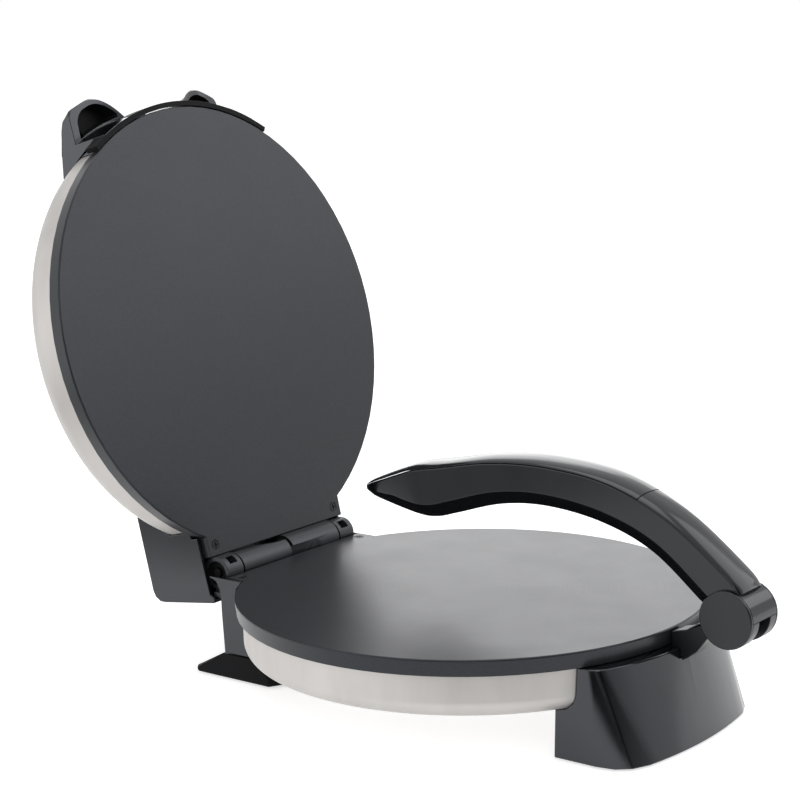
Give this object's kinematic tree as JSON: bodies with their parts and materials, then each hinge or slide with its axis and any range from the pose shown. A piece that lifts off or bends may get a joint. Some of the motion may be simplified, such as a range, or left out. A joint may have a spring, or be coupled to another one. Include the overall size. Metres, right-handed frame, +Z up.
{
  "type": "electric roti maker",
  "caption": "Open electric flatbread press: two round non-stick plates on a rear hinge, steel shells, black housings and a curved press lever.",
  "frame": {"origin": "bottom centre of the bounding box, on the surface the feet rest on", "axes": "+X to the right seen from the lever's side, +Y to the rear hinge, +Z up"},
  "size_m": [0.254, 0.4122, 0.3171],
  "materials": {
    "nonstick": "satin dark non-stick coating",
    "steel": "brushed",
    "gloss_black": "gloss",
    "satin_black": "satin",
    "hinge_coat": "satin dark coating",
    "rubber": "matte",
    "screw_steel": "satin",
    "sheath": "dull",
    "wool": "matte mineral board",
    "ceramic": "satin heatproof"
  },
  "bodies": {
    "base": {"base_plate": "nonstick", "base_pan": "steel", "base_heating_element": "sheath", "base_insulation": "wool", "base_thermostat": "ceramic", "base_hinge": "hinge_coat", "hinge_pin": "screw_steel", "base_tab_screw_left": "screw_steel", "base_tab_screw_right": "screw_steel", "front_housing": "gloss_black", "housing_screw_left": "screw_steel", "housing_screw_right": "screw_steel", "bracket_screw_left": "screw_steel", "bracket_screw_right": "screw_steel", "lever_bracket": "satin_black", "lever_axle": "screw_steel", "rear_stand": "gloss_black", "rear_foot": "satin_black", "foot_screw_left": "screw_steel", "foot_screw_right": "screw_steel", "foot_pad_front_left": "rubber", "foot_pad_front_right": "rubber", "foot_pad_rear_left": "rubber", "foot_pad_rear_right": "rubber", "cord_gland": "rubber"},
    "lid": {"lid_plate": "nonstick", "lid_pan": "steel", "lid_heating_element": "sheath", "lid_insulation": "wool", "lid_fuse": "ceramic", "lid_hinge": "hinge_coat", "lid_tab_screw_left": "screw_steel", "lid_tab_screw_right": "screw_steel", "lid_front_housing": "gloss_black", "lid_rear_housing": "gloss_black"},
    "lever": {"lever_arm": "gloss_black", "grip_cover": "gloss_black", "hub_cap_left": "satin_black", "hub_cap_right": "satin_black", "hub_cheek_left": "satin_black", "hub_cheek_right": "satin_black"}
  },
  "joints": [
    {"name": "lid_hinge", "type": "hinge", "parent": "base", "child": "lid", "pos_m": [0, 0.1049, 0.0588], "axis": [1, 0, 0], "range_deg": [0, 105]},
    {"name": "lever_pivot", "type": "hinge", "parent": "base", "child": "lever", "pos_m": [0, -0.1913, 0.0696], "axis": [1, 0, 0], "range_deg": [0, 130]}
  ],
  "couplings": [
    {"joint": "lever_pivot", "follows": "lid_hinge", "ratio": 1.235}
  ]
}
